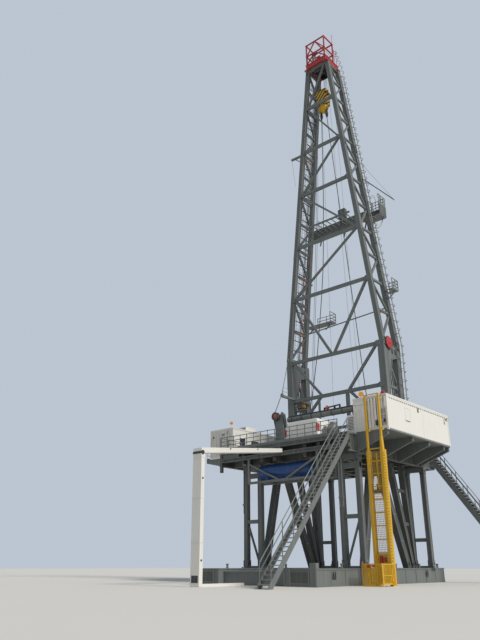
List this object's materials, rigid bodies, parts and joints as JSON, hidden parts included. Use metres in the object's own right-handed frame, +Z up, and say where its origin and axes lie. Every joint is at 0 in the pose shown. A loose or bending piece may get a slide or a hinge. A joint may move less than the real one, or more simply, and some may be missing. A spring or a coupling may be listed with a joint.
{
  "type": "land drilling rig, scale model at half size",
  "caption": "Land drilling rig on a swing-up substructure: open-front mast with red crown, white cabins, stairs, yellow man lift, blue tank and travelling block.",
  "frame": {"origin": "on the ground under the middle of the rig's bounding box", "axes": "+Z up along the mast, +Y towards the mast's open front, +X towards the driller's cabin"},
  "size_m": [12.25, 11.85, 28.9],
  "materials": {
    "rig_steel": "satin",
    "white_paint": "satin",
    "yellow_paint": "gloss",
    "blue_paint": "gloss",
    "red_paint": "satin",
    "dark_steel": "satin",
    "wire_rope": "greased"
  },
  "bodies": {
    "root": {"a_frame_beam": "rig_steel", "air_tank": "blue_paint", "base_box_left": "rig_steel", "base_box_right": "rig_steel", "base_cross_beams": "rig_steel", "cabin_brackets_left": "rig_steel", "cabin_brackets_right": "rig_steel", "cable_trough_arm": "white_paint", "cable_trough_column": "white_paint", "crown_base": "red_paint", "crown_cage": "red_paint", "crown_sheaves": "dark_steel", "drawworks_cover": "white_paint", "drawworks_motor": "dark_steel", "drill_lines": "wire_rope", "driller_cabin_floor": "white_paint", "driller_cabin_roof": "white_paint", "driller_cabin_walls": "white_paint", "floor_girders": "rig_steel", "floor_plates": "rig_steel", "front_leg_frame_left": "rig_steel", "front_leg_frame_right": "rig_steel", "ladder_landing": "rig_steel", "left_cabin_floor": "white_paint", "left_cabin_roof": "white_paint", "left_cabin_walls": "white_paint", "lift_fence": "yellow_paint", "lift_tower": "yellow_paint", "line_anchor": "rig_steel", "line_anchor_drum": "dark_steel", "mast_back_lower": "rig_steel", "mast_back_upper": "rig_steel", "mast_boom": "rig_steel", "mast_ladder": "rig_steel", "mast_lower_left": "rig_steel", "mast_lower_right": "rig_steel", "mast_shoes": "rig_steel", "mast_upper_left": "rig_steel", "mast_upper_right": "rig_steel", "racking_board": "rig_steel", "rear_leg_frame_left": "rig_steel", "rear_leg_frame_right": "rig_steel", "rear_railing": "rig_steel", "rear_stair_sides": "rig_steel", "rear_stair_treads": "rig_steel", "rotary_table": "rig_steel", "service_box": "white_paint", "side_railings": "rig_steel", "side_stair_sides": "rig_steel", "side_stair_treads": "rig_steel", "slant_struts_left": "rig_steel", "slant_struts_right": "rig_steel", "stabbing_board": "rig_steel", "tank_frame": "rig_steel", "walkway_railing": "white_paint"},
    "travelling_block": {"travelling_block": "yellow_paint", "hook": "yellow_paint"},
    "lift_car": {"lift_car": "yellow_paint"},
    "lift_gate": {"lift_gate": "yellow_paint"},
    "driller_cabin_door": {"driller_cabin_door": "white_paint"}
  },
  "joints": [
    {"name": "block_hoist", "type": "slide", "parent": "root", "child": "travelling_block", "axis": [0, 0, 1], "range_m": [-17, 0.5], "deforming": ["drill_lines"]},
    {"name": "lift_travel", "type": "slide", "parent": "root", "child": "lift_car", "axis": [0, 0, 1], "range_m": [0, 5.1]},
    {"name": "lift_gate_hinge", "type": "hinge", "parent": "root", "child": "lift_gate", "pos_m": [3.742, -0.815, 0], "axis": [0, 0, 1], "range_deg": [0, 100]},
    {"name": "cabin_door_hinge", "type": "hinge", "parent": "root", "child": "driller_cabin_door", "pos_m": [2.555, -0.537, 0], "axis": [0, 0, -1], "range_deg": [0, 110]}
  ]
}
